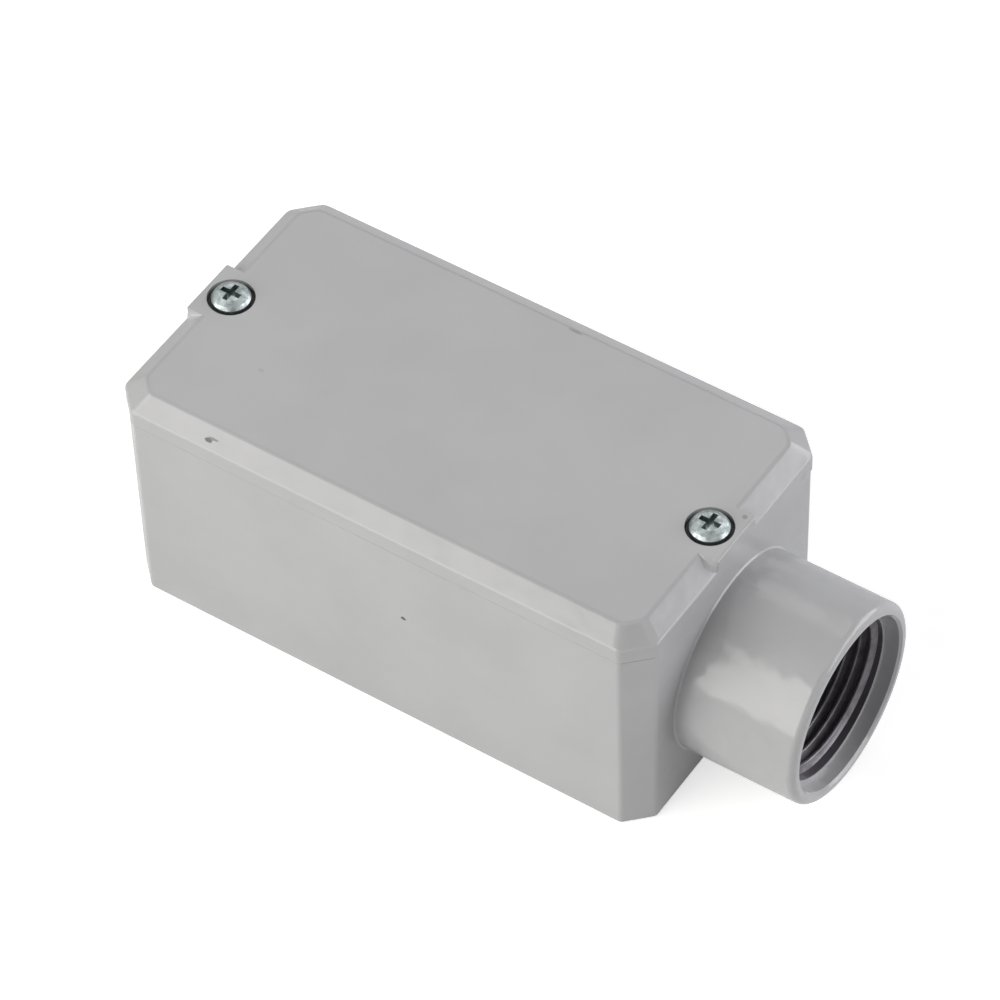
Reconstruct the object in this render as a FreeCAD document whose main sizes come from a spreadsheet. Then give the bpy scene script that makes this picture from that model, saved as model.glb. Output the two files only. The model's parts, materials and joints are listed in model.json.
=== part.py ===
"""Die-cast conduit body: a drafted box with one threaded hub, and a bevelled cover held by two sealed screws.

Millimetres. The origin is the middle of the housing's underside. +X points out of the hub, +Z to the cover.
"""
import FreeCAD
import Part

import math
import os

import Sketcher

# Driving sizes: alias, value, what it is. Every feature below takes its sizes from these cells.
SIZES = [
    ("cover_length", 119.0, "cover, end face to end face"),
    ("cover_width", 64.2, "cover, side to side"),
    ("corner_chamfer", 5.2, "leg of the 45 degree corners in plan"),
    ("corner_radius", 1.5, "softening of the upright corner edges"),
    ("cover_edge_height", 3.4, "upright edge of the cover"),
    ("bevel_height", 2.9, "rise of the cover's bevel"),
    ("bevel_width", 4.0, "run of the cover's bevel"),
    ("ridge_radius", 5.0, "softening of the bevel's corner ridges"),
    ("cover_edge_radius", 0.8, "softening where the upright edge meets the bevel"),
    ("bevel_edge_radius", 1.4, "softening where the bevel meets the flat top"),
    ("cover_skin", 2.6, "cover thickness under the flat top"),
    ("cover_gap", 0.4, "shadow line between the cover's lip and the housing"),
    ("cover_overhang", 0.25, "cover standing proud of the housing, each side"),
    ("lug_width", 13.2, "flush lug round each screw"),
    ("lug_edge_radius", 0.45, "softening of the lug's outer edges"),
    ("housing_height", 47.3, "underside to the rim"),
    ("draft_angle", 0.3, "degrees of draft on the walls, inside and out"),
    ("wall_thickness", 3.0, "side and end walls at the rim"),
    ("floor_thickness", 3.0, "floor of the wiring chamber"),
    ("chamber_corner_radius", 3.0, "upright inner corners of the chamber"),
    ("foot_edge_radius", 0.6, "softening of the underside's edge"),
    ("chamber_floor_radius", 2.0, "fillet round the chamber's floor"),
    ("screw_inset", 5.8, "screw axis from the cover's end face"),
    ("boss_diameter", 9.4, "screw boss inside each end wall"),
    ("screw_diameter", 4.0, "screw shank"),
    ("screw_length", 14.0, "screw under its head"),
    ("head_diameter", 7.7, "pan head, M4"),
    ("head_height", 2.2, "pan head"),
    ("head_edge_height", 0.9, "upright rim of the pan head"),
    ("head_shoulder_height", 1.6, "where the pan head's side turns over"),
    ("head_shoulder_inset", 0.45, "pan head, rim to shoulder"),
    ("head_crown_inset", 1.5, "pan head, rim to crown"),
    ("cross_width", 1.1, "one slot of the cross recess"),
    ("cross_span", 4.3, "cross recess, tip to tip"),
    ("cross_depth", 1.5, "cross recess"),
    ("screw_tip_chamfer", 0.6, "lead-in at the screw's tip"),
    ("shank_clearance", 0.05, "screw in its boss, radial"),
    ("cover_hole_clearance", 0.25, "screw in the cover, radial"),
    ("tip_clearance", 1.0, "boss hole past the screw's tip"),
    ("counterbore_diameter", 9.4, "screw seat in the cover"),
    ("head_sink", 0.8, "underside of the head below the flat top"),
    ("washer_diameter", 9.0, "sealing washer"),
    ("washer_thickness", 1.0, "sealing washer"),
    ("washer_bore_clearance", 0.1, "sealing washer on the shank, radial"),
    ("gasket_lip", 1.2, "metal lip of the cover outside the gasket"),
    ("gasket_width", 3.3, "gasket strip"),
    ("gasket_recess", 1.4, "depth of the gasket's seat in the cover"),
    ("gasket_clearance", 0.1, "gasket inside its seat, each side"),
    ("tab_diameter", 11.0, "gasket tab and cover pad round each screw"),
    ("hub_diameter", 41.4, "outside of the hub"),
    ("hub_length", 25.6, "hub beyond the housing's end wall"),
    ("hub_drop", 1.15, "hub axis below the housing's mid-height"),
    ("hub_edge_radius", 1.5, "rounded outer edge of the hub's mouth"),
    ("hub_flare", 0.25, "45 degree flare where the hub leaves the wall"),
    ("hub_flare_sink", 0.3, "how far the flare runs on into the drafted end wall"),
    ("mouth_diameter", 36.0, "smooth lead-in of the hub"),
    ("mouth_depth", 3.3, "smooth lead-in of the hub"),
    ("mouth_chamfer", 0.5, "broken edge of the lead-in"),
    ("conduit_diameter", 33.25, "conduit thread over its crests: 1 inch parallel, 11 to the inch"),
    ("conduit_length", 18.4, "threaded length, up to the conduit stop"),
    ("passage_diameter", 25.0, "smooth bushed way through the conduit stop"),
    ("passage_chamfer", 1.6, "broken edge of the passage, kind to the wires"),
]

ENDS = {"hub_end": 1, "blank_end": -1}
SCREW_X = ("cover_length/2", "-screw_inset")
HOUSING_END = ("cover_length/2", "-cover_overhang")
CHAMBER_INSET = ("cover_overhang", "wall_thickness")
COVER_Z = ("housing_height", "cover_gap")
FLAT_Z = ("cover_edge_height", "bevel_height")
HUB_AXIS = ("housing_height/2", "-hub_drop")
SCREW_HOLE = ("screw_diameter", "shank_clearance", "shank_clearance")
COVER_HOLE = ("screw_diameter", "cover_hole_clearance", "cover_hole_clearance")
# How far the screw reaches below the housing's rim, and the hole that takes it.
SCREW_REACH = ("screw_length", "head_sink", "-cover_edge_height", "-bevel_height", "-cover_gap")
SCREW_DEPTH = SCREW_REACH + ("tip_clearance",)
AXIS_DRAWN = 10.0  # length of a construction line that stands for an axis
NEAR = 1e-4  # two places closer than this are the same

doc = FreeCAD.newDocument("conduit_body")
sheet = doc.addObject("Spreadsheet::Sheet", "Sizes")
for row, (alias, value, note) in enumerate(SIZES, start=1):
    sheet.set(f"A{row}", alias)
    sheet.set(f"B{row}", str(value))
    sheet.set(f"C{row}", note)
    sheet.setAlias(f"B{row}", alias)
doc.recompute()


def formula(terms):
    """Expression for a sum of sizes, such as ("cover_length/2", "-screw_inset")."""
    parts = []
    for term in terms:
        sign = "-" if term.startswith("-") else "+"
        parts.append(f"{sign} Sizes.{term.lstrip('-')}")
    return "0 mm " + " ".join(f"{p} * 1 mm" for p in parts)


def total(terms):
    """Value now of the same sum, for placing geometry before its constraints hold it."""
    result = 0.0
    for term in terms:
        name, _, divisor = term.lstrip("-").partition("/")
        sign = -1.0 if term.startswith("-") else 1.0
        result += sign * getattr(sheet, name) / float(divisor or 1)
    return result


def new_body(label):
    body = doc.addObject("PartDesign::Body", label)
    body.Label = label
    return body


def new_sketch(body, name, plane="XY_Plane", height=()):
    """Sketch on one of the body's own origin planes, raised by a sum of sizes."""
    sketch = body.newObject("Sketcher::SketchObject", name)
    origin_plane = next(f for f in body.Origin.OriginFeatures if f.Role == plane)
    sketch.AttachmentSupport = [(origin_plane, "")]
    sketch.MapMode = "FlatFace"
    if height:
        sketch.setExpression("AttachmentOffset.Base.z", formula(height))
    return sketch


def hold(sketch, constraint, terms):
    """Add a dimension whose value is a sum of sizes."""
    index = sketch.addConstraint(constraint)
    sketch.setExpression(f"Constraints[{index}]", formula(terms))
    return index


def check_cut(feature, before):
    """A pocket, groove or hole that points away from the solid changes nothing, so compare the volumes."""
    doc.recompute()
    if feature.Shape.Volume >= before - 1e-3:
        raise RuntimeError(f"{feature.Label} removed nothing")


def outline_sketch(body, name, height, inset):
    """The box's chamfered outline, drawn `inset` inside the cover's own.

    The eight sides are held by their distance from the middle, so the insets stay parallel all round.
    """
    sketch = new_sketch(body, name, height=height)
    half_length = total(("cover_length/2",))
    half_width = total(("cover_width/2",))
    corner_reach = (half_length + half_width - total(("corner_chamfer",))) / math.sqrt(2)
    whole = [half_length, corner_reach, half_width, corner_reach] * 2
    reach = [distance - total(inset) for distance in whole]
    corners = []
    for i in range(8):
        first, second = math.radians(45 * i), math.radians(45 * (i + 1))
        near, far = reach[i], reach[(i + 1) % 8]
        x = (near * math.sin(second) - far * math.sin(first)) / math.sin(second - first)
        y = (far * math.cos(first) - near * math.cos(second)) / math.sin(second - first)
        corners.append(FreeCAD.Vector(x, y, 0))
    sides = [sketch.addGeometry(Part.LineSegment(corners[i - 1], corners[i])) for i in range(8)]
    for i in range(8):
        sketch.addConstraint(Sketcher.Constraint("Coincident", sides[i], 2, sides[(i + 1) % 8], 1))
    for i in (0, 4):
        sketch.addConstraint(Sketcher.Constraint("Vertical", sides[i]))
    for i in (2, 6):
        sketch.addConstraint(Sketcher.Constraint("Horizontal", sides[i]))
    sketch.addConstraint(Sketcher.Constraint("Angle", sides[1], math.radians(135)))
    sketch.addConstraint(Sketcher.Constraint("Perpendicular", sides[3], sides[1]))
    sketch.addConstraint(Sketcher.Constraint("Parallel", sides[5], sides[1]))
    sketch.addConstraint(Sketcher.Constraint("Perpendicular", sides[7], sides[1]))
    corner = "(Sizes.cover_length / 2 + Sizes.cover_width / 2 - Sizes.corner_chamfer) * 1 mm / sqrt(2)"
    formulas = ["Sizes.cover_length / 2 * 1 mm", corner, "Sizes.cover_width / 2 * 1 mm", corner] * 2
    for side, distance, words in zip(sides, reach, formulas):
        index = sketch.addConstraint(Sketcher.Constraint("Distance", -1, 1, side, distance))
        sketch.setExpression(f"Constraints[{index}]", f"{words} - ({formula(inset)})")
    return sketch


def screw_circles(body, name, height, diameter):
    """One circle on each screw axis."""
    sketch = new_sketch(body, name, height=height)
    for side in ENDS.values():
        centre = FreeCAD.Vector(side * total(SCREW_X), 0, 0)
        index = sketch.addGeometry(Part.Circle(centre, FreeCAD.Vector(0, 0, 1), total(diameter) / 2))
        sketch.addConstraint(Sketcher.Constraint("PointOnObject", index, 3, -1))
        hold(sketch, Sketcher.Constraint("Distance", -1, 1, index, 3, total(SCREW_X)), SCREW_X)
        hold(sketch, Sketcher.Constraint("Diameter", index, total(diameter)), diameter)
    return sketch


def tongue_sketch(body, name, height, diameter, reach):
    """A tongue round each screw axis: half a circle inwards, straight sides out to `reach`."""
    sketch = new_sketch(body, name, height=height)
    radius = total(diameter) / 2
    x, far = total(SCREW_X), total(reach)
    for side in ENDS.values():
        circle = Part.Circle(FreeCAD.Vector(side * x, 0, 0), FreeCAD.Vector(0, 0, 1), radius)
        turn = math.pi / 2 if side > 0 else -math.pi / 2
        nose = sketch.addGeometry(Part.ArcOfCircle(circle, turn, turn + math.pi))
        first, second = side * radius, -side * radius
        corners = [FreeCAD.Vector(side * far, second, 0), FreeCAD.Vector(side * far, first, 0)]
        out = sketch.addGeometry(Part.LineSegment(FreeCAD.Vector(side * x, second, 0), corners[0]))
        across = sketch.addGeometry(Part.LineSegment(corners[0], corners[1]))
        back = sketch.addGeometry(Part.LineSegment(corners[1], FreeCAD.Vector(side * x, first, 0)))
        sketch.addConstraint(Sketcher.Constraint("Tangent", nose, 2, out, 1))
        sketch.addConstraint(Sketcher.Constraint("Coincident", out, 2, across, 1))
        sketch.addConstraint(Sketcher.Constraint("Coincident", across, 2, back, 1))
        sketch.addConstraint(Sketcher.Constraint("Tangent", back, 2, nose, 1))
        sketch.addConstraint(Sketcher.Constraint("Vertical", across))
        sketch.addConstraint(Sketcher.Constraint("Horizontal", out))
        sketch.addConstraint(Sketcher.Constraint("PointOnObject", nose, 3, -1))
        hold(sketch, Sketcher.Constraint("Distance", -1, 1, nose, 3, x), SCREW_X)
        hold(sketch, Sketcher.Constraint("Distance", -1, 1, across, far), reach)
        hold(sketch, Sketcher.Constraint("Diameter", nose, 2 * radius), diameter)
    return sketch


def profile_sketch(body, name, points, axis_line):
    """Half section on the XZ plane: straight lines through `points`, each (x terms, z terms), closed.

    `axis_line` is the z terms of the axis that it is turned about, drawn as construction geometry.
    """
    sketch = new_sketch(body, name, plane="XZ_Plane")
    at = [FreeCAD.Vector(total(x), total(z), 0) for x, z in points]
    lines = [sketch.addGeometry(Part.LineSegment(at[i], at[(i + 1) % len(at)])) for i in range(len(at))]
    for i, line in enumerate(lines):
        sketch.addConstraint(Sketcher.Constraint("Coincident", line, 2, lines[(i + 1) % len(lines)], 1))
        x, z = points[i]
        if total(x):
            hold(sketch, Sketcher.Constraint("DistanceX", -1, 1, line, 1, total(x)), x)
        else:
            sketch.addConstraint(Sketcher.Constraint("PointOnObject", line, 1, -2))
        if total(z):
            hold(sketch, Sketcher.Constraint("DistanceY", -1, 1, line, 1, total(z)), z)
        else:
            sketch.addConstraint(Sketcher.Constraint("PointOnObject", line, 1, -1))
    if axis_line:
        level = total(axis_line)
        ends = FreeCAD.Vector(0, level, 0), FreeCAD.Vector(AXIS_DRAWN, level, 0)
        axis = sketch.addGeometry(Part.LineSegment(*ends), True)
        sketch.addConstraint(Sketcher.Constraint("Horizontal", axis))
        sketch.addConstraint(Sketcher.Constraint("PointOnObject", axis, 1, -2))
        hold(sketch, Sketcher.Constraint("DistanceY", -1, 1, axis, 1, level), axis_line)
        sketch.addConstraint(Sketcher.Constraint("DistanceX", axis, 1, axis, 2, AXIS_DRAWN))
    return sketch


def pad(body, sketch, length, downwards=False):
    feature = body.newObject("PartDesign::Pad", sketch.Name + "_pad")
    feature.Profile = sketch
    feature.setExpression("Length", formula(length))
    feature.Reversed = downwards
    doc.recompute()
    return feature


def pocket(body, sketch, depth, upwards=False):
    before = body.Shape.Volume
    feature = body.newObject("PartDesign::Pocket", sketch.Name + "_pocket")
    feature.Profile = sketch
    feature.setExpression("Length", formula(depth))
    feature.Reversed = upwards
    check_cut(feature, before)
    return feature


def draft(body, name, wanted, neutral_height, inward):
    """Lean the faces that `wanted` picks, pivoting on the level face at one height."""
    base = body.Tip
    faces = [f"Face{i}" for i, face in enumerate(base.Shape.Faces, start=1) if wanted(face)]
    neutral = [
        f"Face{i}" for i, face in enumerate(base.Shape.Faces, start=1)
        if abs(face.BoundBox.ZMin - neutral_height) < NEAR and abs(face.BoundBox.ZMax - neutral_height) < NEAR
    ]
    feature = body.newObject("PartDesign::Draft", name)
    feature.Base = (base, faces)
    feature.NeutralPlane = (base, neutral[:1])
    feature.setExpression("Angle", "Sizes.draft_angle * 1 deg")
    feature.Reversed = inward
    doc.recompute()
    return feature


def round_edges(body, name, radius, wanted):
    """Fillet the edges of the body's shape that `wanted` picks."""
    base = body.Tip
    names = [f"Edge{i}" for i, edge in enumerate(base.Shape.Edges, start=1) if wanted(edge)]
    if not names:
        raise RuntimeError(f"{name} found no edge to round")
    feature = body.newObject("PartDesign::Fillet", name)
    feature.Base = (base, names)
    feature.setExpression("Radius", formula(radius))
    doc.recompute()
    return feature


def level_edge(height):
    """Picks the edges whose ends both lie at one height."""
    return lambda edge: all(abs(vertex.Z - height) < NEAR for vertex in edge.Vertexes)


def rising_edge(bottom, least):
    """Picks the edges that start at one height and rise by at least so much."""
    def wanted(edge):
        heights = sorted(vertex.Z for vertex in edge.Vertexes)
        return abs(heights[0] - bottom) < NEAR and heights[-1] - bottom > least
    return wanted


def hub_ring(x, radius):
    """Picks the circles of one radius about the hub's axis at one place along it."""
    def wanted(edge):
        box = edge.BoundBox
        flat = abs(box.XMin - x) < NEAR and abs(box.XMax - x) < NEAR
        return flat and hasattr(edge.Curve, "Radius") and abs(edge.Curve.Radius - radius) < NEAR
    return wanted


def build_housing():
    """The casting: drafted box, wiring chamber, screw bosses, and the hub with its bushed conduit stop."""
    body = new_body("housing")
    height = total(("housing_height",))
    foot = outline_sketch(body, "foot_outline", (), ("cover_overhang",))
    pad(body, foot, ("housing_height",))
    draft(body, "outer_draft", lambda face: face.BoundBox.ZLength > height / 2, height, inward=True)
    round_edges(body, "upright_edges", ("corner_radius",), rising_edge(0.0, height / 2))
    round_edges(body, "foot_edge", ("foot_edge_radius",), level_edge(0.0))

    # Hub: a turned form that starts inside the end wall.
    start = HOUSING_END + ("-wall_thickness",)
    front = HOUSING_END + ("hub_length",)
    axis = HUB_AXIS
    outside = axis + ("hub_diameter/2",)
    flare_top = outside + ("hub_flare", "hub_flare_sink")
    flare_start = HOUSING_END + ("-hub_flare_sink",)
    steps = [(start, axis), (front, axis), (front, outside), (HOUSING_END + ("hub_flare",), outside)]
    steps += [(flare_start, flare_top), (start, flare_top)]
    hub = profile_sketch(body, "hub_profile", steps, axis)
    turned = body.newObject("PartDesign::Revolution", "hub")
    turned.Profile = hub
    turned.ReferenceAxis = (hub, ["Axis0"])
    turned.Angle = 360
    doc.recompute()
    round_edges(body, "hub_edge", ("hub_edge_radius",), hub_ring(total(front), total(("hub_diameter/2",))))

    # Chamber, drafted like the outside, and the two screw bosses that run down its end walls.
    chamber = outline_sketch(body, "chamber_outline", ("housing_height",), CHAMBER_INSET)
    pocket(body, chamber, ("housing_height", "-floor_thickness"))
    floor = total(("floor_thickness",))

    def chamber_wall(face):
        return abs(face.BoundBox.ZMin - floor) < NEAR and face.BoundBox.ZLength > height / 2
    draft(body, "inner_draft", chamber_wall, height, inward=False)
    round_edges(body, "chamber_corners", ("chamber_corner_radius",), rising_edge(floor, height / 2))
    round_edges(body, "chamber_fillet", ("chamber_floor_radius",), level_edge(floor))
    boss_reach = HOUSING_END + ("-wall_thickness/2",)
    bosses = tongue_sketch(body, "bosses", ("housing_height",), ("boss_diameter",), boss_reach)
    pad(body, bosses, ("housing_height", "-floor_thickness/2"), downwards=True)

    # Bore, from the mouth: smooth lead-in, thread over its crests, conduit stop, passage into the chamber.
    lead_in = front + ("-mouth_depth",)
    stop = lead_in + ("-conduit_length",)
    inside = SCREW_X + ("-boss_diameter",)
    mouth, thread, passage = (axis + (f"{name}_diameter/2",) for name in ("mouth", "conduit", "passage"))
    steps = [(inside, axis), (front, axis), (front, mouth + ("mouth_chamfer",))]
    steps += [(front + ("-mouth_chamfer",), mouth), (lead_in, mouth), (lead_in, thread), (stop, thread)]
    steps += [(stop, passage + ("passage_chamfer",)), (stop + ("-passage_chamfer",), passage)]
    steps += [(inside, passage)]
    bore = profile_sketch(body, "bore_profile", steps, axis)
    before = body.Shape.Volume
    groove = body.newObject("PartDesign::Groove", "bore")
    groove.Profile = bore
    groove.ReferenceAxis = (bore, ["Axis0"])
    groove.Angle = 360
    check_cut(groove, before)

    holes = screw_circles(body, "screw_holes", ("housing_height",), SCREW_HOLE)
    pocket(body, holes, SCREW_DEPTH)
    return body


def build_cover():
    """The cover: upright edge, bevel, flush lugs and screw seats, with the gasket's seat underneath."""
    body = new_body("cover")
    flat, edge = total(FLAT_Z), total(("cover_edge_height",))
    outline = outline_sketch(body, "cover_outline", (), ())
    pad(body, outline, FLAT_Z)
    block = body.Tip
    top_edges = [f"Edge{i}" for i, e in enumerate(block.Shape.Edges, start=1) if level_edge(flat)(e)]
    bevel = body.newObject("PartDesign::Chamfer", "bevel")
    bevel.Base = (block, top_edges)
    bevel.ChamferType = "Two distances"
    bevel.setExpression("Size", formula(("bevel_height",)))
    bevel.setExpression("Size2", formula(("bevel_width",)))
    doc.recompute()
    round_edges(body, "bevel_ridges", ("ridge_radius",), rising_edge(edge, (flat - edge) / 2))
    round_edges(body, "upright_edges_of_cover", ("corner_radius",), rising_edge(0.0, edge / 2))
    round_edges(body, "flat_edge", ("bevel_edge_radius",), level_edge(flat))
    round_edges(body, "cover_edge", ("cover_edge_radius",), lambda e: level_edge(edge)(e) and e.Length > 2)

    # Lugs: the flat top carried out to the end faces round each screw.
    lugs = new_sketch(body, "lugs", height=FLAT_Z)
    half_lug = total(("lug_width/2",))
    root_x = ("cover_length/2", "-bevel_width", "-bevel_width/2")
    end_x = ("cover_length/2",)
    for side in ENDS.values():
        corners = [(root_x, -1), (end_x, -1), (end_x, 1), (root_x, 1)]
        at = [FreeCAD.Vector(side * total(x), y * half_lug, 0) for x, y in corners]
        lines = [lugs.addGeometry(Part.LineSegment(at[i], at[(i + 1) % 4])) for i in range(4)]
        for i in range(4):
            lugs.addConstraint(Sketcher.Constraint("Coincident", lines[i], 2, lines[(i + 1) % 4], 1))
        for line, direction in ((0, "Horizontal"), (2, "Horizontal"), (3, "Vertical")):
            lugs.addConstraint(Sketcher.Constraint(direction, lines[line]))
        lugs.addConstraint(Sketcher.Constraint("Symmetric", lines[1], 1, lines[1], 2, -1))
        hold(lugs, Sketcher.Constraint("Distance", lines[1], 2 * half_lug), ("lug_width",))
        hold(lugs, Sketcher.Constraint("Distance", -1, 1, lines[1], total(end_x)), end_x)
        hold(lugs, Sketcher.Constraint("Distance", -1, 1, lines[3], total(root_x)), root_x)
    pad(body, lugs, FLAT_Z + ("-gasket_recess/2",), downwards=True)

    def lug_edge(edge):
        box = edge.BoundBox
        at_end = abs(abs(box.Center.x) - total(end_x)) < NEAR and box.XLength < NEAR
        return at_end and abs(box.ZMax - total(FLAT_Z)) < NEAR and edge.Length > total(("bevel_height/2",))
    round_edges(body, "lug_edges", ("lug_edge_radius",), lug_edge)

    # Underneath: the gasket's seat, then the hollow, with a pad left standing round each screw.
    seat = outline_sketch(body, "gasket_seat", (), ("gasket_lip",))
    pocket(body, seat, ("gasket_recess",), upwards=True)
    hollow_inset = ("gasket_lip", "gasket_clearance", "gasket_width", "gasket_clearance")
    hollow = outline_sketch(body, "hollow", (), hollow_inset)
    pocket(body, hollow, FLAT_Z + ("-cover_skin",), upwards=True)
    pad_reach = ("cover_length/2", "-gasket_lip")
    pads = tongue_sketch(body, "screw_pads", FLAT_Z + ("-cover_skin/2",), ("tab_diameter",), pad_reach)
    pad(body, pads, FLAT_Z + ("-cover_skin/2", "-gasket_recess"), downwards=True)

    seats = screw_circles(body, "screw_seats", FLAT_Z, ("counterbore_diameter",))
    pocket(body, seats, ("head_sink", "washer_thickness"))
    holes = screw_circles(body, "shank_holes", FLAT_Z, COVER_HOLE)
    pocket(body, holes, FLAT_Z)
    body.setExpression("Placement.Base.z", formula(COVER_Z))
    return body


def build_gasket():
    """Flat neoprene gasket: a strip on the housing's rim with a holed tab round each screw."""
    body = new_body("cover_gasket")
    outer = ("gasket_lip", "gasket_clearance")
    strip = outline_sketch(body, "strip_outside", (), outer)
    thickness = ("cover_gap", "gasket_recess")
    pad(body, strip, thickness)
    opening = outline_sketch(body, "strip_inside", (), outer + ("gasket_width",))
    pocket(body, opening, thickness, upwards=True)
    tab_reach = ("cover_length/2", "-gasket_lip", "-gasket_clearance")
    tabs = tongue_sketch(body, "tabs", (), ("tab_diameter",), tab_reach)
    pad(body, tabs, thickness)
    holes = screw_circles(body, "tab_holes", (), COVER_HOLE)
    pocket(body, holes, thickness, upwards=True)
    body.setExpression("Placement.Base.z", formula(("housing_height",)))
    return body


def build_screw(label, side):
    """Pan-head screw with a cross recess; its own origin is under the head, on the axis."""
    body = new_body(label)
    tip = ("-screw_length",)
    shank, rim = ("screw_diameter/2",), ("head_diameter/2",)
    points = [((), tip), (shank + ("-screw_tip_chamfer",), tip), (shank, tip + ("screw_tip_chamfer",))]
    points += [(shank, ()), (rim, ()), (rim, ("head_edge_height",))]
    points += [(rim + ("-head_shoulder_inset",), ("head_shoulder_height",))]
    points += [(rim + ("-head_crown_inset",), ("head_height",)), ((), ("head_height",))]
    profile = profile_sketch(body, label + "_profile", points, ())
    turned = body.newObject("PartDesign::Revolution", label + "_turned")
    turned.Profile = profile
    turned.ReferenceAxis = (profile, ["V_Axis"])
    turned.Angle = 360
    doc.recompute()

    for name, turned_by in (("slot", 0), ("cross_slot", 90)):
        slot = new_sketch(body, f"{label}_{name}", height=("head_height",))
        raised = slot.AttachmentOffset.Base
        slot.AttachmentOffset = FreeCAD.Placement(raised, FreeCAD.Rotation(turned_by, 0, 0))
        half_span, half_width = total(("cross_span/2",)), total(("cross_width/2",))
        signs = [(-1, -1), (1, -1), (1, 1), (-1, 1)]
        at = [FreeCAD.Vector(x * half_span, y * half_width, 0) for x, y in signs]
        lines = [slot.addGeometry(Part.LineSegment(at[i], at[(i + 1) % 4])) for i in range(4)]
        for i in range(4):
            slot.addConstraint(Sketcher.Constraint("Coincident", lines[i], 2, lines[(i + 1) % 4], 1))
        for line, direction in ((0, "Horizontal"), (2, "Horizontal"), (1, "Vertical"), (3, "Vertical")):
            slot.addConstraint(Sketcher.Constraint(direction, lines[line]))
        slot.addConstraint(Sketcher.Constraint("Symmetric", lines[0], 1, lines[1], 2, -1, 1))
        hold(slot, Sketcher.Constraint("Distance", lines[0], 2 * half_span), ("cross_span",))
        hold(slot, Sketcher.Constraint("Distance", lines[1], 2 * half_width), ("cross_width",))
        pocket(body, slot, ("cross_depth",))
    body.setExpression("Placement.Base.x", f"{side} * ({formula(SCREW_X)})")
    body.setExpression("Placement.Base.z", formula(COVER_Z + FLAT_Z + ("-head_sink",)))
    return body


def build_washer(label, side):
    """Black sealing washer under the head."""
    body = new_body(label)
    ring = new_sketch(body, label + "_ring")
    bore = ("screw_diameter", "washer_bore_clearance", "washer_bore_clearance")
    for diameter in (("washer_diameter",), bore):
        geometry = Part.Circle(FreeCAD.Vector(0, 0, 0), FreeCAD.Vector(0, 0, 1), total(diameter) / 2)
        circle = ring.addGeometry(geometry)
        ring.addConstraint(Sketcher.Constraint("Coincident", circle, 3, -1, 1))
        hold(ring, Sketcher.Constraint("Diameter", circle, total(diameter)), diameter)
    pad(body, ring, ("washer_thickness",))
    body.setExpression("Placement.Base.x", f"{side} * ({formula(SCREW_X)})")
    body.setExpression("Placement.Base.z", formula(COVER_Z + FLAT_Z + ("-head_sink", "-washer_thickness")))
    return body


def check_document():
    """Stop if any object failed, even where recompute raised nothing."""
    doc.recompute()
    for item in doc.Objects:
        if "Invalid" in item.State or "Error" in item.State:
            raise RuntimeError(f"{item.Label} is {item.State}")


def export(bodies):
    os.makedirs("parts", exist_ok=True)
    for body in bodies:
        if body.Shape.isNull() or not body.Shape.isValid() or len(body.Shape.Solids) != 1:
            raise RuntimeError(f"{body.Label} is not one valid solid")
    for body in bodies:
        body.Shape.exportStep(f"parts/{body.Label}.step")
        box = body.Shape.BoundBox
        size = f"{box.XLength:.2f} x {box.YLength:.2f} x {box.ZLength:.2f}"
        print(f"{body.Label}: {size}, {body.Shape.Volume:.1f} mm3")


bodies = [build_housing(), build_cover(), build_gasket()]
for end, end_side in ENDS.items():
    bodies.append(build_washer(f"{end}_washer", end_side))
    bodies.append(build_screw(f"{end}_screw", end_side))
check_document()
export(bodies)
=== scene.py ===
"""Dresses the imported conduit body: painted castings, black seals and zinc-plated screws.

It adds four pieces to the CAD nodes: the conduit thread in the hub, the thread on each screw, and the
hollow corners beside the cover's screw lugs.

Metres, in the part's own frame: +X out of the hub, +Z up through the cover, z = 0 on the floor.
"""
import json
import math

import bpy
from bpy.props import FloatProperty, FloatVectorProperty, IntProperty, PointerProperty
from mathutils import Matrix, Vector

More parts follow.
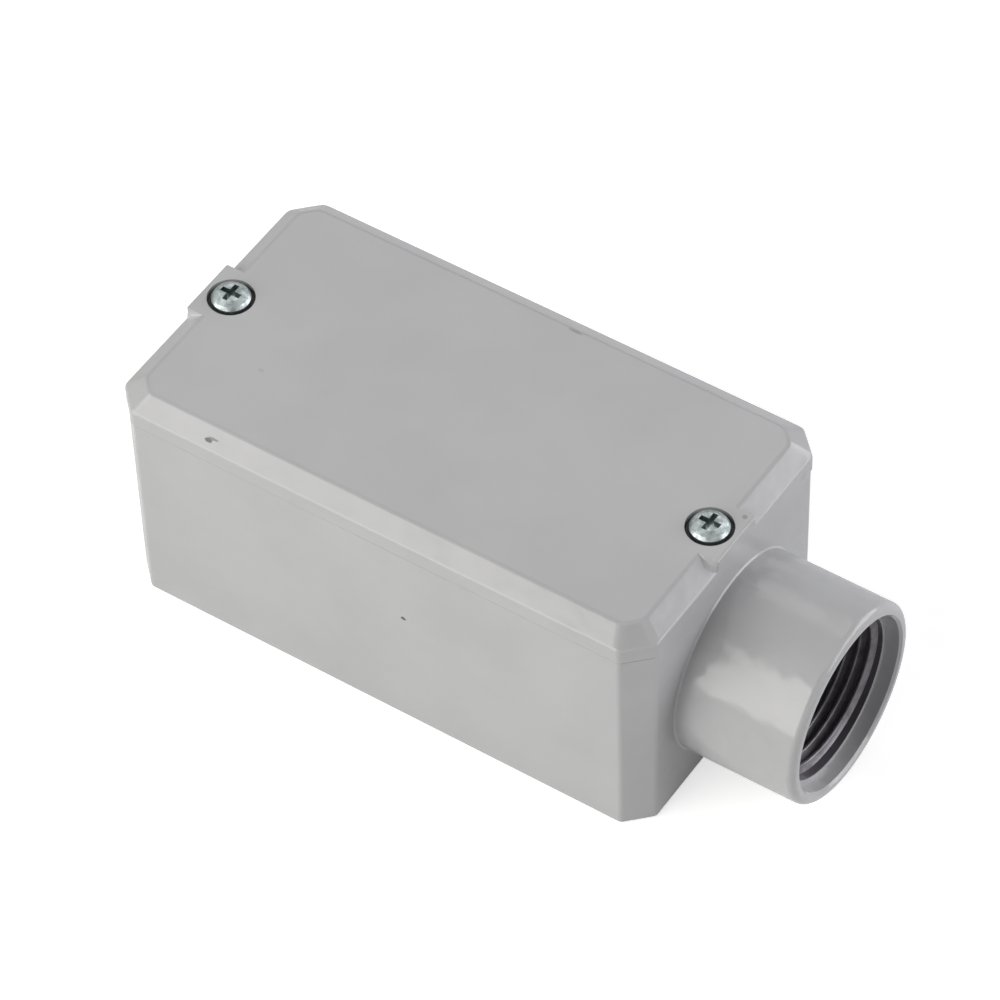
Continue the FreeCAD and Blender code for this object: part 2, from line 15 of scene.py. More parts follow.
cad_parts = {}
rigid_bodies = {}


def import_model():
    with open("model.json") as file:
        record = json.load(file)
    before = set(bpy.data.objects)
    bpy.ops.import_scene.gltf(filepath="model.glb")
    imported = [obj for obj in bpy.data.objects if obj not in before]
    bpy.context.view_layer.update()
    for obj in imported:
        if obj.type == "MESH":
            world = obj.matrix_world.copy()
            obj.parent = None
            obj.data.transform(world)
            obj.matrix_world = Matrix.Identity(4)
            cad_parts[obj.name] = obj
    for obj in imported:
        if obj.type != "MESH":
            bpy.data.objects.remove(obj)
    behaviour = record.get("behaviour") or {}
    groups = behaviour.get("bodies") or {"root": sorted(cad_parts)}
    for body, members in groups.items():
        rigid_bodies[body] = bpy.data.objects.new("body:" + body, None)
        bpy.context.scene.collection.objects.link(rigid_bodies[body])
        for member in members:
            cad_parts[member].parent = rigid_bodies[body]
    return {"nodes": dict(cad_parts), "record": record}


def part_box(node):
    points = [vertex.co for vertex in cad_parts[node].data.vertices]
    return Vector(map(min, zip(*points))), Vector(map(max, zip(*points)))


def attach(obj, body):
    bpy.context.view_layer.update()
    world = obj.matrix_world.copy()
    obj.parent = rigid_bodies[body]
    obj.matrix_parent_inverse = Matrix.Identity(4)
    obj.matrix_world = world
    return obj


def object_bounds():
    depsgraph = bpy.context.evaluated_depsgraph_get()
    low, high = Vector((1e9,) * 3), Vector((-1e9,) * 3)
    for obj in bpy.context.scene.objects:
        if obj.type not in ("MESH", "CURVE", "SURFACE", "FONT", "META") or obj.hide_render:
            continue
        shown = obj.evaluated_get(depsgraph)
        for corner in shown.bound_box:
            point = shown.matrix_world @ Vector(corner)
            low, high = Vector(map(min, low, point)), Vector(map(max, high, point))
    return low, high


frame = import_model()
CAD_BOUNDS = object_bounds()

bl_info = {
    "name": "Conduit Body Dressing",
    "version": (1, 0, 0),
    "blender": (4, 5, 0),
    "location": "View3D > Sidebar > Conduit Body",
    "description": "Finishes a packed conduit body: paint, seals, screws, hub thread and a plain stage",
    "category": "Object",
}

MM = 0.001
HUB_MOUNT = next(mount for mount in frame["record"]["mounts"] if mount["name"] == "conduit_hub")
HUB_MIDDLE = Vector(HUB_MOUNT["pos_m"])
HUB_BORE_RADIUS = HUB_MOUNT["dims"]["r_mm"] * MM
HUB_THREAD_LENGTH = HUB_MOUNT["dims"]["length_mm"] * MM
COVER_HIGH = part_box("cover")[1]
HUB_ROOT = 59.5 * MM  # where the hub leaves the end wall
LUG_HALF_WIDTH = 6.6 * MM
BEVEL_WIDTH = 4.0 * MM
BEVEL_DROP = 2.9 * MM
SCREWS = ("hub_end_screw", "blank_end_screw")
WASHERS = ("hub_end_washer", "blank_end_washer")
SCREW_RADIUS = 2.0 * MM
SCREW_HEAD = 2.2 * MM
SCREW_LOW, SCREW_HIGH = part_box("hub_end_screw")
SCREW_CENTRE = (SCREW_LOW.x + SCREW_HIGH.x) / 2 / MM
# The screws' thread starts this far under the head, ends this far above the tip, and has this many facets.
SCREW_PLAIN, SCREW_TIP, SCREW_STEPS = 0.003, 0.0009, 36
# How far the feet of each added form reach below the surface that carries them.
CONDUIT_ROOT_SUNK, SCREW_ROOT_SUNK, LUG_SUNK = 0.0002, 0.00003, 0.00005
LUG_RINGS, LUG_FACETS = 24, 8
WHITE = (1.0, 1.0, 1.0)
# The floor's radius, its corners and the gap under the part.
FLOOR_RADIUS, FLOOR_CORNERS, FLOOR_GAP = 6.0, 64, 0.00005
# The dark card's half width, and how far from the part it hangs.
CARD_HALF, CARD_AWAY = 0.5, 1.45
LAMP_AIM = Vector((0.0, 0.0, 0.03))


class PaintSettings(bpy.types.PropertyGroup):
    """The gloss paint on both castings."""

    colour: FloatVectorProperty(
        name="Paint", description="Colour of the paint", subtype="COLOR", size=3, min=0, max=1,
        default=(0.458, 0.458, 0.467))
    gloss: FloatProperty(
        name="Roughness", description="How far the paint blurs what it reflects", subtype="FACTOR",
        min=0, max=1, default=0.17)
    orange_peel: FloatProperty(
        name="Orange peel", description="Height of the ripple in the sprayed coat", unit="LENGTH",
        min=0, max=0.0002, default=0.000008)
    waviness: FloatProperty(
        name="Waviness", description="Height of the slow waves that the die leaves in the casting",
        unit="LENGTH", min=0, max=0.0005, default=0.00008)
    hollow_radius: FloatProperty(
        name="Hollow corner", description="Radius of the hollow corners beside the screw lugs",
        unit="LENGTH", min=0.0002, max=0.003, default=0.0016)
    bare_metal: FloatVectorProperty(
        name="Bare metal", description="Machined aluminium inside the hub", subtype="COLOR", size=3,
        min=0, max=1, default=(0.13, 0.122, 0.135))


class SealSettings(bpy.types.PropertyGroup):
    """The gasket under the cover and the sealing washers under the screws."""

    colour: FloatVectorProperty(
        name="Rubber", description="Colour of the seals", subtype="COLOR", size=3, min=0, max=1,
        default=(0.016, 0.016, 0.017))


class ScrewSettings(bpy.types.PropertyGroup):
    """The plating on the cover screws."""

    colour: FloatVectorProperty(
        name="Zinc", description="Colour of the zinc plating", subtype="COLOR", size=3, min=0, max=1,
        default=(0.4, 0.43, 0.435))
    pitch: FloatProperty(
        name="Pitch", description="Advance of the screw's thread in one turn", unit="LENGTH",
        min=0.0003, max=0.002, default=0.0007)
    thread_height: FloatProperty(
        name="Thread height", description="How far the thread stands off the shank as it was packed",
        unit="LENGTH", min=0.00005, max=0.0002, default=0.00017)


class ThreadSettings(bpy.types.PropertyGroup):
    """The parallel conduit thread inside the hub."""

    pitch: FloatProperty(
        name="Pitch", description="Advance of the thread in one turn", unit="LENGTH",
        min=0.0005, max=0.005, default=0.0254 / 11)
    depth: FloatProperty(
        name="Depth", description="From the groove's bottom to the ridge's crest", unit="LENGTH",
        min=0.0002, max=0.003, default=0.00145)
    steps: IntProperty(
        name="Steps", description="Facets in one turn of the ridge", min=24, max=360, default=120)


class StageSettings(bpy.types.PropertyGroup):
    """The floor, the lamps and the camera."""

    azimuth: FloatProperty(
        name="Azimuth", description="Camera's bearing, from the side wall towards the hub",
        subtype="ANGLE", default=math.radians(34.98))
    elevation: FloatProperty(
        name="Elevation", description="Camera's height above the horizon", subtype="ANGLE",
        default=math.radians(49.02))
    roll: FloatProperty(
        name="Roll", description="Turn of the camera about its own line of sight", subtype="ANGLE",
        default=math.radians(-1.98))
    distance: FloatProperty(
        name="Distance", description="From the camera to the point it looks at", unit="LENGTH",
        default=1.0675)
    aim: FloatVectorProperty(
        name="Aim", description="The point the camera looks at", subtype="TRANSLATION", size=3,
        default=(0.00389, 0.00453, 0.02628))
    lens: FloatProperty(
        name="Lens", description="Focal length in millimetres on a 36 mm sensor", default=201.7)
    sky: FloatProperty(
        name="Sky", description="Strength of the even light from all round", min=0, default=0.24)
    key: FloatProperty(
        name="Key lamp", description="Power of the wide lamp before the long wall", unit="POWER",
        min=0, default=19.0)
    side: FloatProperty(
        name="Side lamp", description="Power of the wide lamp beyond the hub", unit="POWER",
        min=0, default=14.0)
    back: FloatProperty(
        name="Back lamp", description="Power of the lamp high behind, which glances off the cover",
        unit="POWER", min=0, default=0.9)


def add_node(tree, kind, inputs=None, **attributes):
    """Adds a shader node, sets its attributes, and sets or links its inputs."""
    made = tree.nodes.new(kind)
    for name, value in attributes.items():
        setattr(made, name, value)
    for socket, value in (inputs or {}).items():
        if isinstance(value, bpy.types.NodeSocket):
            tree.links.new(value, made.inputs[socket])
        else:
            made.inputs[socket].default_value = value
    return made


def maths(tree, operation, *values, clamp=False):
    """The output of a Math node over sockets or numbers."""
    inputs = dict(enumerate(values))
    return add_node(tree, "ShaderNodeMath", inputs, operation=operation, use_clamp=clamp).outputs[0]


def vector_maths(tree, operation, *values, output=0):
    """One output of a Vector Math node over sockets or vectors."""
    inputs = dict(enumerate(values))
    return add_node(tree, "ShaderNodeVectorMath", inputs, operation=operation).outputs[output]


def ramp_between(tree, value, low, high, start=0.0, end=1.0):
    """A smooth step from `start` to `end` as `value` goes from `low` to `high`."""
    inputs = {"Value": value, "From Min": low, "From Max": high, "To Min": start, "To Max": end}
    made = add_node(tree, "ShaderNodeMapRange", inputs, interpolation_type="SMOOTHSTEP")
    return made.outputs["Result"]


def noise(tree, place, scale, detail=3.0):
    """Noise about 0.5, with `scale` features to the millimetre."""
    inputs = {"Vector": place, "Scale": scale, "Detail": detail, "Roughness": 0.5}
    return add_node(tree, "ShaderNodeTexNoise", inputs).outputs["Fac"]


def mix_colours(tree, share, first, second):
    """`first` where share is 0 and `second` where it is 1."""
    made = add_node(tree, "ShaderNodeMix", {"Factor": share}, data_type="RGBA")
    for socket, value in ((made.inputs[6], first), (made.inputs[7], second)):
        if isinstance(value, bpy.types.NodeSocket):
            tree.links.new(value, socket)
        else:
            socket.default_value = (*value, 1.0)
    return made.outputs[2]


def new_material(name):
    """A material with an empty tree: its tree, its shader, and places on the part in millimetres."""
    material = bpy.data.materials.new(name)
    material.use_nodes = True
    tree = material.node_tree
    shader = tree.nodes["Principled BSDF"]
    coordinates = add_node(tree, "ShaderNodeTexCoord")
    place = vector_maths(tree, "MULTIPLY", coordinates.outputs["Object"], (1000.0, 1000.0, 1000.0))
    return material, tree, shader, place


def add_bump(tree, shader, distance, height):
    """Ripples the shader's normal by `height`, which counts in units of `distance`."""
    inputs = {"Strength": 1.0, "Distance": distance, "Height": height}
    bump = add_node(tree, "ShaderNodeBump", inputs)
    tree.links.new(bump.outputs["Normal"], shader.inputs["Normal"])


def make_mesh(name, vertices, faces):
    """A smooth-shaded mesh."""
    mesh = bpy.data.meshes.new(name)
    mesh.from_pydata(vertices, [], faces)
    mesh.update()
    mesh.shade_smooth()
    return mesh


def add_object(scene, name, data):
    """A new object in the scene."""
    item = bpy.data.objects.new(name, data)
    scene.collection.objects.link(item)
    return item


def give_material(item, material):
    """Puts the material on every slot of a CAD node or a new piece."""
    if not item.material_slots:
        item.data.materials.append(material)
    for material_slot in item.material_slots:
        material_slot.material = material


# Chips, pits and smudges in the paint: where each one is, its reach along X, Y and Z, and how dark it is.
# Places and reaches are in millimetres.
CHIPS = (
    ((-37.3, -30.6, 52.15), (0.9, 0.5, 0.38), 0.8),
    ((-36.4, -30.2, 52.5), (1.2, 0.3, 0.22), 0.55),
    ((6.4, -31.9, 29.4), (0.65, 0.6, 0.45), 0.85),
    ((57.9, 5.4, 53.9), (0.5, 0.6, 0.5), 0.4),
    ((59.4, 23.4, 48.6), (0.6, 1.0, 0.3), 0.35),
    ((59.2, -19.2, 20.4), (1.2, 0.9, 0.8), 0.5),
    ((6.4, 27.6, 54.0), (1.7, 0.35, 0.6), 0.35),
    ((-38.1, -12.3, 54.0), (0.7, 0.5, 0.5), 0.12),
)


def chip_mask(tree, place):
    """How dark the paint is from chips: 0 where it is whole, with a ragged border round each one."""
    ragged = noise(tree, place, 1.7, detail=2.0)
    mask = None
    for middle, reach, dark in CHIPS:
        offset = vector_maths(tree, "SUBTRACT", place, middle)
        scaled = vector_maths(tree, "DIVIDE", offset, reach)
        distance = vector_maths(tree, "LENGTH", scaled, output="Value")
        edge = maths(tree, "ADD", distance, maths(tree, "MULTIPLY", ragged, 0.8))
        inside = ramp_between(tree, edge, 1.15, 1.5, start=dark, end=0.0)
        mask = inside if mask is None else maths(tree, "MAXIMUM", mask, inside)
    return mask


def bore_mask(tree, place):
    """1 on the machined inside of the hub, behind its lead-in, and 0 elsewhere."""
    middle = tuple(HUB_MIDDLE / MM)
    offset = vector_maths(tree, "SUBTRACT", place, middle)
    flat = vector_maths(tree, "MULTIPLY", offset, (0.0, 1.0, 1.0))
    across = vector_maths(tree, "LENGTH", flat, output="Value")
    along = add_node(tree, "ShaderNodeSeparateXYZ", {"Vector": offset}).outputs["X"]
    half, bore = HUB_THREAD_LENGTH / MM / 2, HUB_BORE_RADIUS / MM
    within = ramp_between(tree, across, bore + 0.05, bore + 0.25, 1.0, 0.0)
    past = ramp_between(tree, along, half + 0.3, half + 0.6, 1.0, 0.0)
    before = ramp_between(tree, along, -half - 2.5, -half - 2.0)
    return maths(tree, "MULTIPLY", maths(tree, "MULTIPLY", within, past), before)


def gloss_paint(settings):
    """Sprayed gloss paint with a faint ripple, soft blotches and chips down to dark metal."""
    material, tree, shader, place = new_material("gloss_grey_paint")
    blotches = noise(tree, place, 0.045, detail=3.0)
    specks = noise(tree, place, 3.1, detail=2.0)
    paint = tuple(settings.colour)
    deeper = tuple(channel * 0.94 for channel in paint)
    colour = mix_colours(tree, ramp_between(tree, blotches, 0.3, 0.7), deeper, paint)
    dusty = tuple(channel * 0.82 for channel in paint)
    colour = mix_colours(tree, ramp_between(tree, specks, 0.68, 0.78, 0.0, 0.5), colour, dusty)
    bored = bore_mask(tree, place)
    colour = mix_colours(tree, bored, colour, tuple(settings.bare_metal))
    chipped = chip_mask(tree, place)
    colour = mix_colours(tree, chipped, colour, (0.055, 0.054, 0.05))
    tree.links.new(colour, shader.inputs["Base Color"])

    ripple = noise(tree, place, 0.8, detail=2.0)
    along = add_node(tree, "ShaderNodeSeparateXYZ", {"Vector": place}).outputs["X"]
    hub_share = ramp_between(tree, along, HUB_ROOT / MM, HUB_ROOT / MM + 2.0, 1.0, 3.0)
    slow = maths(tree, "MULTIPLY", noise(tree, place, 0.25, detail=1.0), hub_share)
    waves = maths(tree, "MULTIPLY", slow, settings.waviness / settings.orange_peel)
    raised = maths(tree, "ADD", ripple, waves)
    sink = maths(tree, "SUBTRACT", raised, maths(tree, "MULTIPLY", chipped, 6.0))
    add_bump(tree, shader, settings.orange_peel, sink)
    gloss = settings.gloss
    smear = ramp_between(tree, noise(tree, place, 0.12), 0.3, 0.7, gloss - 0.04, gloss + 0.05)
    rough = maths(tree, "ADD", smear, maths(tree, "MULTIPLY", chipped, 0.4), clamp=True)
    tree.links.new(rough, shader.inputs["Roughness"])
    tree.links.new(maths(tree, "MULTIPLY", bored, 0.3), shader.inputs["Metallic"])
    shader.inputs["Specular IOR Level"].default_value = 0.42
    shader.inputs["Coat Weight"].default_value = 0.15
    shader.inputs["Coat Roughness"].default_value = 0.1
    return material


def machined_metal(settings):
    """Bare cut aluminium, smutted with cutting oil, with fine lines round the bore."""
    material, tree, shader, place = new_material("machined_aluminium")
    offset = vector_maths(tree, "SUBTRACT", place, tuple(HUB_MIDDLE / MM))
    stretched = vector_maths(tree, "MULTIPLY", offset, (14.0, 0.15, 0.15))
    lines = noise(tree, stretched, 1.0, detail=2.0)
    smut = noise(tree, place, 0.35, detail=4.0)
    metal = tuple(settings.bare_metal)
    bright = tuple(min(1.0, channel * 1.7) for channel in metal)
    colour = mix_colours(tree, ramp_between(tree, smut, 0.35, 0.75), bright, metal)
    tree.links.new(colour, shader.inputs["Base Color"])
    tree.links.new(ramp_between(tree, lines, 0.2, 0.8, 0.28, 0.5), shader.inputs["Roughness"])
    add_bump(tree, shader, 0.00001, lines)
    shader.inputs["Metallic"].default_value = 0.35
    return material


def zinc_plate(settings):
    """Bright zinc over turned steel, clouded, and darkened with painted shade round the driver's recess.
    """
    material, tree, shader, place = new_material("zinc_plate")
    clouds = noise(tree, place, 0.9, detail=4.0)
    zinc = tuple(settings.colour)
    dull = (zinc[0] * 0.55, zinc[1] * 0.6, zinc[2] * 0.58)
    colour = mix_colours(tree, ramp_between(tree, clouds, 0.35, 0.7), zinc, dull)
    # Painted shade: the zinc is darkened towards each screw's axis, round the driver's recess.
    mirrored = vector_maths(tree, "ABSOLUTE", place)
    offset = vector_maths(tree, "SUBTRACT", mirrored, (SCREW_CENTRE, 0.0, 0.0))
    flat = vector_maths(tree, "MULTIPLY", offset, (1.0, 1.0, 0.0))
    across = vector_maths(tree, "LENGTH", flat, output="Value")
    ragged = maths(tree, "ADD", across, maths(tree, "MULTIPLY", noise(tree, place, 2.2), 1.2))
    recess_shade = (zinc[0] * 0.3, zinc[1] * 0.37, zinc[2] * 0.34)
    colour = mix_colours(tree, ramp_between(tree, ragged, 1.4, 3.3, start=0.5, end=0.0), colour, recess_shade)
    tree.links.new(colour, shader.inputs["Base Color"])
    tree.links.new(ramp_between(tree, clouds, 0.3, 0.7, 0.32, 0.5), shader.inputs["Roughness"])
    fine = noise(tree, place, 6.0, detail=2.0)
    add_bump(tree, shader, 0.000012, fine)
    shader.inputs["Metallic"].default_value = 1.0
    return material


def black_rubber(settings):
    """Matt black rubber with a fine moulded grain and a little dust."""
    material, tree, shader, place = new_material("black_rubber")
    grain = noise(tree, place, 5.0, detail=3.0)
    rubber = tuple(settings.colour)
    dusty = tuple(channel * 2.6 for channel in rubber)
    colour = mix_colours(tree, ramp_between(tree, grain, 0.55, 0.8, 0.0, 0.6), rubber, dusty)
    tree.links.new(colour, shader.inputs["Base Color"])
    tree.links.new(ramp_between(tree, grain, 0.3, 0.7, 0.55, 0.75), shader.inputs["Roughness"])
    add_bump(tree, shader, 0.00002, grain)
    return material


def thread_section(depth, pitch):
    """The outline over one pitch, as (along, inward), from groove to groove over the rounded crest."""
    flank, crest, facets = pitch * 0.36, pitch * 0.14, 5
    points = [(-pitch / 2, -CONDUIT_ROOT_SUNK), (-flank, 0.0)]
    for step in range(facets + 1):
        turn = math.pi * (step / facets - 0.5)
        points.append((crest * math.sin(turn), depth - crest * 0.7 * (1 - math.cos(turn))))
    points += [(flank, 0.0), (pitch / 2, -CONDUIT_ROOT_SUNK)]
    return points


def helical_ridge(name, outline, pitch, turns, steps, fade_turns, place):
    """A ridge as a mesh: `outline` carried along a helix, sinking away at both ends.

    `place` turns an angle, a distance along the axis and a height off the bare surface into a point.
    """
    rings = round(turns * steps)
    vertices, faces = [], []
    for ring in range(rings + 1):
        angle, advance = math.tau * ring / steps, pitch * ring / steps
        fade = min(1.0, min(ring, rings - ring) / (fade_turns * steps))
        for along, lift in outline:
            vertices.append(place(angle, advance + along, lift * fade if lift > 0 else lift))
    width = len(outline)
    for ring in range(rings):
        for point in range(width - 1):
            corner = ring * width + point
            faces.append((corner, corner + 1, corner + 1 + width, corner + width))
    return make_mesh(name, vertices, faces)


def conduit_thread(settings):
    """The ridge inside the hub, right-handed about +X."""
    pitch = settings.pitch
    start = HUB_MIDDLE.x - HUB_THREAD_LENGTH / 2 + pitch * 0.45

    def place(angle, along, lift):
        radius = HUB_BORE_RADIUS - lift
        across, up = -radius * math.sin(angle), radius * math.cos(angle)
        return start + along, HUB_MIDDLE.y + across, HUB_MIDDLE.z + up

    outline = thread_section(settings.depth, pitch)
    turns = HUB_THREAD_LENGTH / pitch - 0.75
    return helical_ridge("hub_thread", outline, pitch, turns, settings.steps, 0.25, place)


def screw_thread(name, node, settings):
    """The ridge on a screw's shank, right-handed, from under its washer to the chamfer at its tip."""
    low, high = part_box(node)
    centre_x, centre_y = (low.x + high.x) / 2, (low.y + high.y) / 2
    first = high.z - SCREW_HEAD - SCREW_PLAIN
    pitch, height = settings.pitch, settings.thread_height

    def place(angle, along, lift):
        radius = SCREW_RADIUS + lift
        return centre_x + radius * math.cos(angle), centre_y - radius * math.sin(angle), first - along

    foot, crest = pitch * 0.4, pitch * 0.08
    outline = [(-foot, -SCREW_ROOT_SUNK), (-crest, height), (crest, height), (foot, -SCREW_ROOT_SUNK)]
    turns = (first - low.z - SCREW_TIP) / pitch
    return helical_ridge(name, outline, pitch, turns, SCREW_STEPS, 0.5, place)


def lug_gussets(settings):
    """The hollow corners between each screw lug's sides and the cover's bevel: one mesh, four solids."""
    vertices, faces = [], []
    run = math.hypot(BEVEL_WIDTH, BEVEL_DROP)
    down = Vector((BEVEL_WIDTH, 0.0, -BEVEL_DROP)) / run
    outward = Vector((BEVEL_DROP, 0.0, BEVEL_WIDTH)) / run
    top = Vector((COVER_HIGH.x - BEVEL_WIDTH, LUG_HALF_WIDTH, COVER_HIGH.z))
    for end, side in ((1, 1), (1, -1), (-1, 1), (-1, -1)):
        first = len(vertices)
        for ring in range(LUG_RINGS + 1):
            reach = run * (0.04 + 0.92 * ring / LUG_RINGS)
            room = min(reach * BEVEL_DROP / BEVEL_WIDTH, (run - reach) * BEVEL_WIDTH / BEVEL_DROP)
            radius = settings.hollow_radius * math.tanh(0.85 * room / settings.hollow_radius)
            section = [(-LUG_SUNK, -LUG_SUNK), (-LUG_SUNK, radius)]
            for facet in range(1, LUG_FACETS):
                turn = math.pi / 2 * facet / LUG_FACETS
                section.append((radius * (1 - math.cos(turn)), radius * (1 - math.sin(turn))))
            section.append((radius, -LUG_SUNK))
            for away, rise in section:
                point = top + down * reach + outward * rise + Vector((0.0, away, 0.0))
                vertices.append((end * point.x, side * point.y, point.z))
        count = LUG_FACETS + 2
        last = first + LUG_RINGS * count
        loops = [list(range(first, first + count)), list(range(last + count - 1, last - 1, -1))]
        for ring in range(LUG_RINGS):
            for step in range(count):
                corner = first + ring * count + step
                following = first + ring * count + (step + 1) % count
                loops.append([corner, corner + count, following + count, following])
        if end * side < 0:
            loops = [loop[::-1] for loop in loops]
        faces += loops
    return make_mesh("lug_gussets", vertices, faces)


class CONDUIT_OT_paint_castings(bpy.types.Operator):
    """Paints the housing and the cover, with the hollow corners at the cover's screw lugs"""

    bl_idname = "conduit_body.paint_castings"
    bl_label = "Paint Castings"

    def execute(self, context):
        paint = gloss_paint(context.scene.conduit_paint)
        for name in ("housing", "cover"):
            give_material(frame["nodes"][name], paint)
        corners = add_object(context.scene, "lug_gussets", lug_gussets(context.scene.conduit_paint))
        give_material(corners, paint)
        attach(corners, "cover")
        return {"FINISHED"}


class CONDUIT_OT_finish_seals(bpy.types.Operator):
    """Gives the gasket and the sealing washers their rubber"""

    bl_idname = "conduit_body.finish_seals"
    bl_label = "Finish Seals"

    def execute(self, context):
        rubber = black_rubber(context.scene.conduit_seals)
        for name in ("cover_gasket", *WASHERS):
            give_material(frame["nodes"][name], rubber)
        return {"FINISHED"}


class CONDUIT_OT_plate_screws(bpy.types.Operator):
    """Plates the cover screws and cuts their threads"""

    bl_idname = "conduit_body.plate_screws"
    bl_label = "Plate Screws"

    def execute(self, context):
        settings = context.scene.conduit_screws
        zinc = zinc_plate(settings)
        for name in SCREWS:
            give_material(frame["nodes"][name], zinc)
            thread = name + "_thread"
            ridge = add_object(context.scene, thread, screw_thread(thread, name, settings))
            give_material(ridge, zinc)
            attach(ridge, name)
        return {"FINISHED"}


class CONDUIT_OT_cut_thread(bpy.types.Operator):
    """Builds the conduit thread inside the hub"""

    bl_idname = "conduit_body.cut_thread"
    bl_label = "Cut Thread"

    def execute(self, context):
        ridge = add_object(context.scene, "hub_thread", conduit_thread(context.scene.conduit_thread))
        give_material(ridge, machined_metal(context.scene.conduit_paint))
        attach(ridge, "housing")
        return {"FINISHED"}


def by_ray(tree, as_light, as_seen, as_mirrored):
    """One strength to the camera, another in reflections and through glass, a third to every other ray."""
    path = add_node(tree, "ShaderNodeLightPath")
    mirrored = maths(tree, "MAXIMUM", path.outputs["Is Glossy Ray"], path.outputs["Is Transmission Ray"])
    indirect = ramp_between(tree, mirrored, 0.0, 1.0, as_light, as_mirrored)
    return ramp_between(tree, path.outputs["Is Camera Ray"], 0.0, 1.0, indirect, as_seen)


def light_sky(scene, strength):
    """Even light from all round, white where the camera or a reflection sees it."""
    world = bpy.data.worlds.new("even_sky")
    world.use_nodes = True
    tree = world.node_tree
    background = tree.nodes["Background"]
    background.inputs["Color"].default_value = (*WHITE, 1.0)
    tree.links.new(by_ray(tree, strength, 1.0, 1.0), background.inputs["Strength"])
    scene.world = world


def floor_material():
    """Grey board as light sees it, white to the camera and in reflections where no shadow falls."""
    material, tree, shader, place = new_material("studio_floor")
    grain = noise(tree, place, 0.02)
    colour = mix_colours(tree, grain, (0.73, 0.73, 0.73), (0.77, 0.77, 0.77))
    tree.links.new(colour, shader.inputs["Base Color"])
    shader.inputs["Roughness"].default_value = 1.0
    shader.inputs["Specular IOR Level"].default_value = 0.0
    shader.inputs["Emission Color"].default_value = (*WHITE, 1.0)
    tree.links.new(by_ray(tree, 0.0, 0.6, 0.2), shader.inputs["Emission Strength"])
    return material


def lay_floor(scene):
    """A wide round floor under the part."""
    angles = [math.tau * corner / FLOOR_CORNERS for corner in range(FLOOR_CORNERS)]
    rim = [(FLOOR_RADIUS * math.cos(angle), FLOOR_RADIUS * math.sin(angle), 0.0) for angle in angles]
    mesh = bpy.data.meshes.new("floor")
    mesh.from_pydata(rim, [], [tuple(range(FLOOR_CORNERS))])
    floor = add_object(scene, "floor", mesh)
    floor.location.z = CAD_BOUNDS[0].z - FLOOR_GAP
    give_material(floor, floor_material())


def hang_lamp(scene, name, power, place, width, height, colour=WHITE):
    """A soft oblong lamp that faces the part."""
    lamp = bpy.data.lights.new(name, "AREA")
    lamp.shape = "RECTANGLE"
    lamp.energy = power
    lamp.size = width
    lamp.size_y = height
    lamp.color = colour
    item = add_object(scene, name, lamp)
    item.location = place
    towards = LAMP_AIM - Vector(place)
    item.rotation_euler = towards.to_track_quat("-Z", "Y").to_euler()


def hang_dark_card(scene, settings):
    """The dark of the room behind the camera, which only glossy faces see."""
    corners = [(x * CARD_HALF, y * CARD_HALF, 0.0) for x, y in ((-1, -1), (1, -1), (1, 1), (-1, 1))]
    mesh = bpy.data.meshes.new("dark_card")
    mesh.from_pydata(corners, [], [(0, 1, 2, 3)])
    card = add_object(scene, "dark_card", mesh)
    outward = camera_bearing(settings)
    facing = outward.to_track_quat("Z", "Y").to_matrix().to_4x4()
    card.matrix_world = Matrix.Translation(outward * CARD_AWAY) @ facing
    card.visible_camera = card.visible_diffuse = card.visible_shadow = card.visible_transmission = False
    material, tree, shader, place = new_material("dark_cloth")
    cloth = mix_colours(tree, noise(tree, place, 0.05), (0.02, 0.02, 0.02), (0.03, 0.03, 0.03))
    tree.links.new(cloth, shader.inputs["Base Color"])
    shader.inputs["Roughness"].default_value = 1.0
    give_material(card, material)


def camera_bearing(settings):
    """The unit vector from the part towards the camera."""
    level = math.cos(settings.elevation)
    return Vector((math.sin(settings.azimuth) * level, -math.cos(settings.azimuth) * level,
                   math.sin(settings.elevation)))


def place_camera(scene, settings):
    """The camera on its bearing, with no shift and everything in focus."""
    outward = camera_bearing(settings)
    camera = bpy.data.cameras.new("camera")
    camera.lens = settings.lens
    camera.sensor_width = 36.0
    camera.clip_end = 50.0
    item = add_object(scene, "camera", camera)
    facing = (-outward).to_track_quat("-Z", "Y").to_matrix() @ Matrix.Rotation(settings.roll, 3, "Z")
    place = Vector(settings.aim) + outward * settings.distance
    item.matrix_world = Matrix.Translation(place) @ facing.to_4x4()
    scene.camera = item


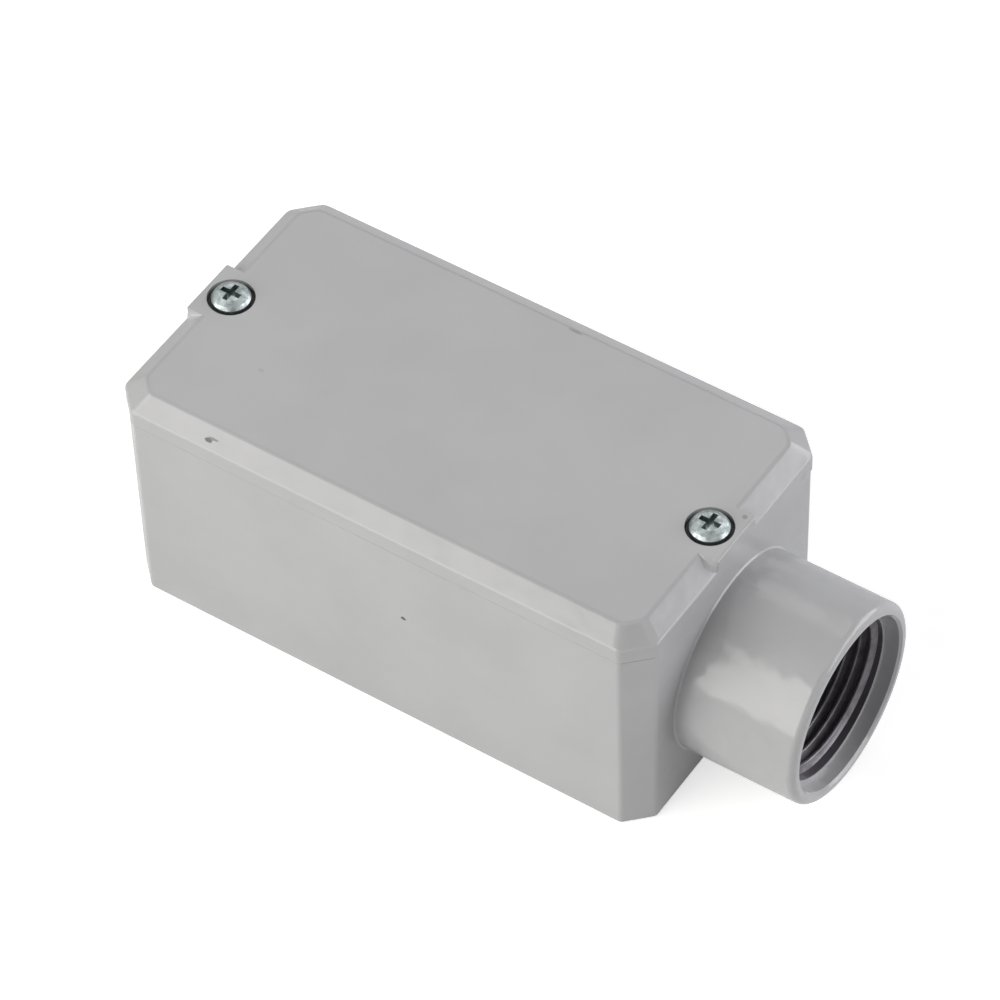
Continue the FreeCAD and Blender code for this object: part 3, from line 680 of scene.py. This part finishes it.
class CONDUIT_OT_set_stage(bpy.types.Operator):
    """Sets the floor, the lamps and the camera"""

    bl_idname = "conduit_body.set_stage"
    bl_label = "Set Stage"

    def execute(self, context):
        scene = context.scene
        settings = scene.conduit_stage
        light_sky(scene, settings.sky)
        lay_floor(scene)
        hang_lamp(scene, "key_lamp", settings.key, (-0.566, -1.022, 0.57), 1.6, 1.2, (1.0, 0.992, 0.96))
        hang_lamp(scene, "side_lamp", settings.side, (0.93, 0.81, 0.43), 1.8, 0.74, (0.972, 0.972, 1.0))
        hang_lamp(scene, "back_lamp", settings.back, (-0.49, 0.70, 0.98), 0.5, 0.5)
        hang_dark_card(scene, settings)
        place_camera(scene, settings)
        scene.view_settings.view_transform = "Standard"
        return {"FINISHED"}


class CONDUIT_PT_dressing(bpy.types.Panel):
    """Lists the steps that dress the part"""

    bl_idname = "CONDUIT_PT_dressing"
    bl_label = "Conduit Body"
    bl_space_type = "VIEW_3D"
    bl_region_type = "UI"
    bl_category = "Conduit Body"

    def draw(self, context):
        for group, settings, step in STEPS:
            box = self.layout.box()
            chosen = getattr(context.scene, group)
            for name in settings.__annotations__:
                box.prop(chosen, name)
            box.operator(step.bl_idname)


# Each step: where its settings hang on the scene, their kind, and the operator that uses them.
STEPS = (
    ("conduit_paint", PaintSettings, CONDUIT_OT_paint_castings),
    ("conduit_seals", SealSettings, CONDUIT_OT_finish_seals),
    ("conduit_screws", ScrewSettings, CONDUIT_OT_plate_screws),
    ("conduit_thread", ThreadSettings, CONDUIT_OT_cut_thread),
    ("conduit_stage", StageSettings, CONDUIT_OT_set_stage),
)


def register():
    for group, settings, step in STEPS:
        bpy.utils.register_class(settings)
        bpy.utils.register_class(step)
        setattr(bpy.types.Scene, group, PointerProperty(type=settings))
    bpy.utils.register_class(CONDUIT_PT_dressing)


def unregister():
    bpy.utils.unregister_class(CONDUIT_PT_dressing)
    for group, settings, step in reversed(STEPS):
        delattr(bpy.types.Scene, group)
        bpy.utils.unregister_class(step)
        bpy.utils.unregister_class(settings)


def main():
    register()
    bpy.ops.conduit_body.paint_castings()
    bpy.ops.conduit_body.finish_seals()
    bpy.ops.conduit_body.plate_screws()
    bpy.ops.conduit_body.cut_thread()
    bpy.ops.conduit_body.set_stage()


if __name__ == "__main__":
    main()
